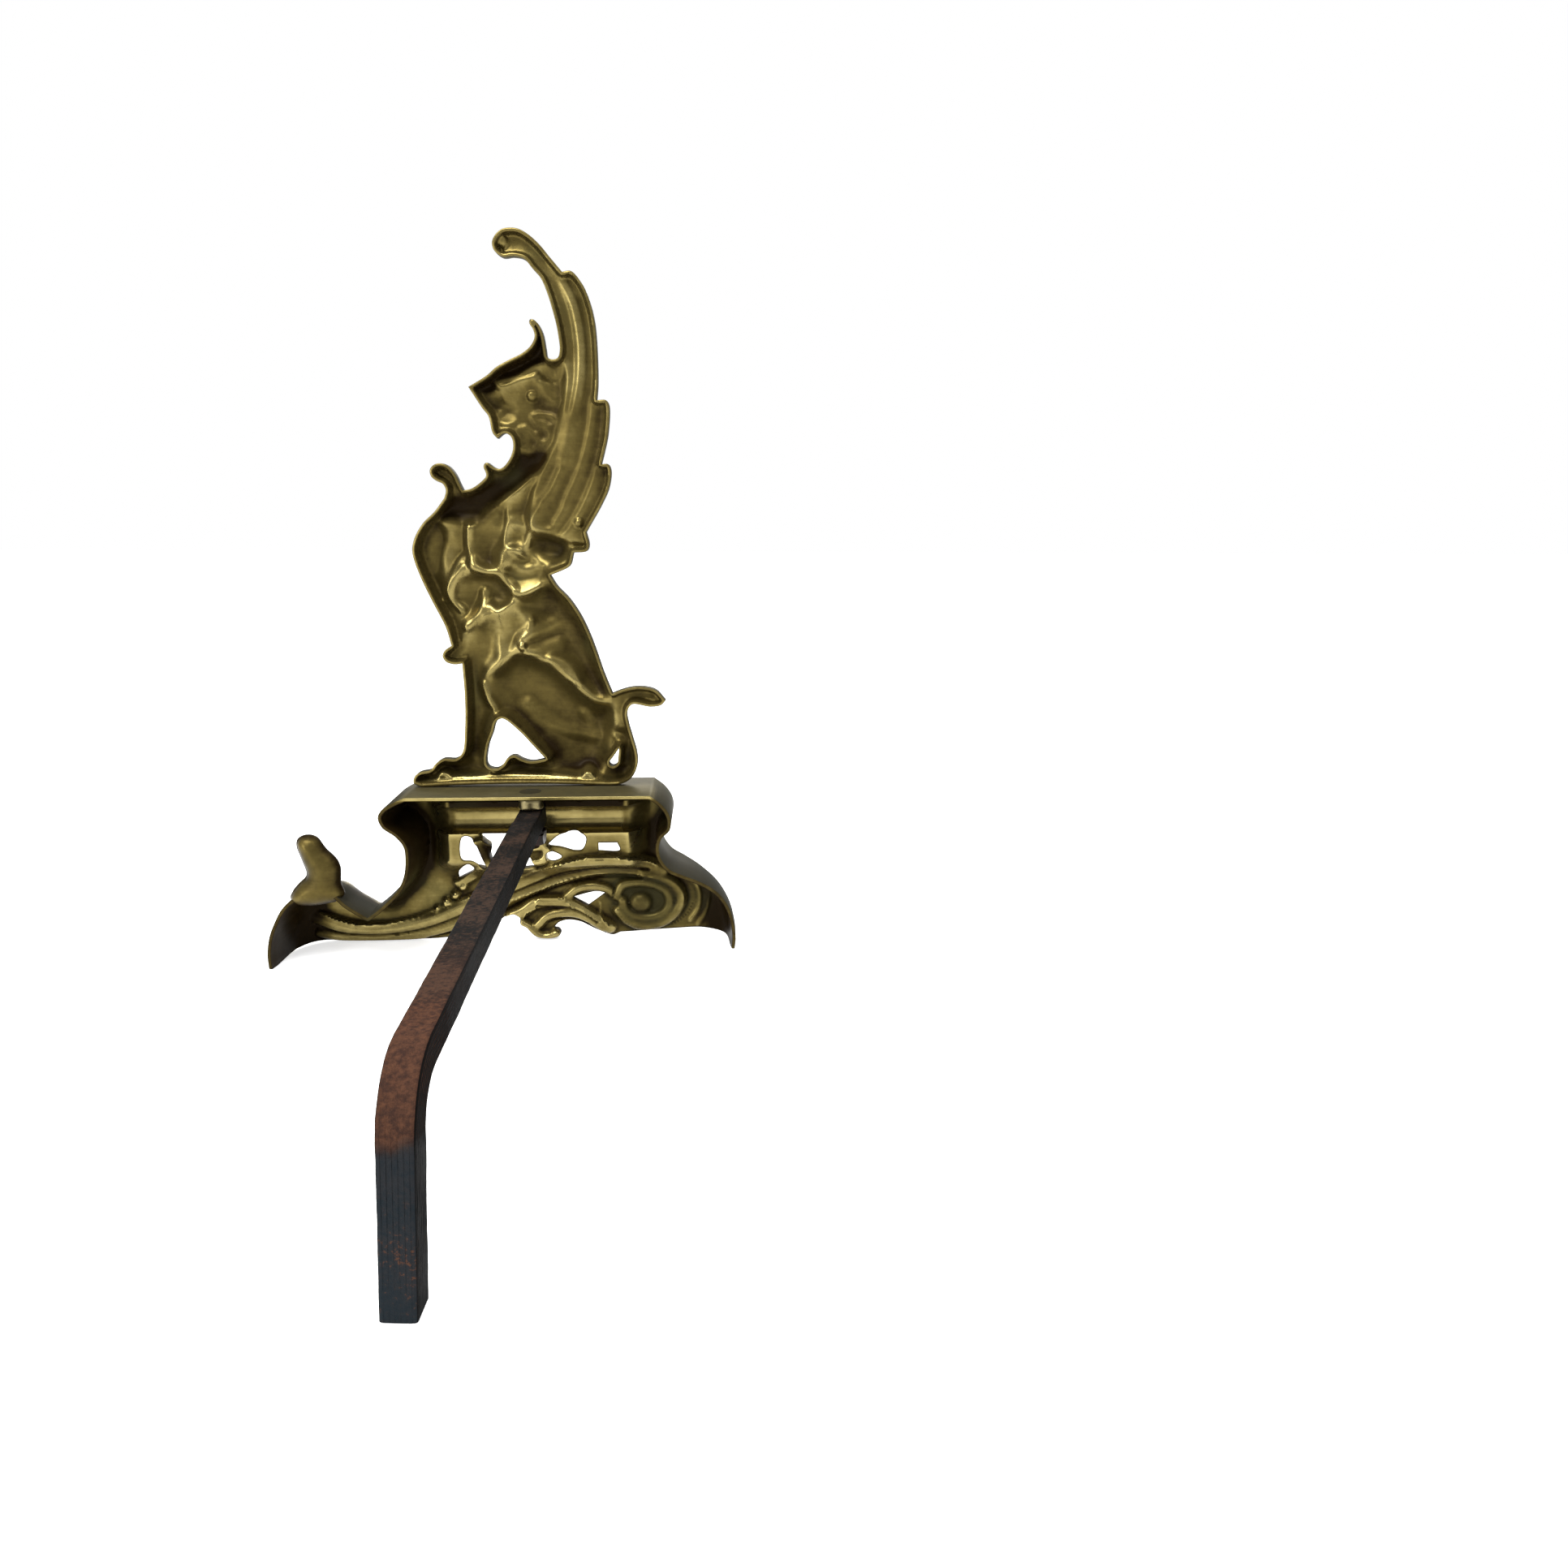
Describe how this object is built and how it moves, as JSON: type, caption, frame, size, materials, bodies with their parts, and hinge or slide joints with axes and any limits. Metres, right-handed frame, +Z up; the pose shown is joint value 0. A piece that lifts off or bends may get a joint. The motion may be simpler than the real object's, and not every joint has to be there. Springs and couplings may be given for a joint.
{
  "type": "andiron",
  "caption": "Brass andiron: a seated winged beast with an open jaw, cast hollow at the back, on a pierced scroll base with a square iron billet bar bent down to a rear foot.",
  "frame": {"origin": "on the floor, under the middle of the part's bounding box", "axes": "+Z up, +Y out of the fireplace towards the room, so the bar runs to -Y; the beast looks to -X"},
  "size_m": [0.293, 0.3714, 0.4343],
  "materials": {
    "aged_brass": "cast and tarnished, brown in the hollows, rubbed bright on rims and shelf",
    "black_iron": "forged square bar, fire-blackened, with a rust-red band round the bend",
    "bolt_iron": "dark forged iron",
    "pale_brass": "turned, dull",
    "screw_steel": "dull, browned"
  },
  "bodies": {
    "root": {"base_casting": "aged_brass", "figure_casting": "aged_brass", "billet_bar": "black_iron", "bar_bolt": "bolt_iron", "spacer_collar": "pale_brass", "bolt_washer": "bolt_iron", "bolt_nut": "bolt_iron", "figure_screw_1": "screw_steel", "figure_screw_2": "screw_steel"}
  },
  "joints": []
}
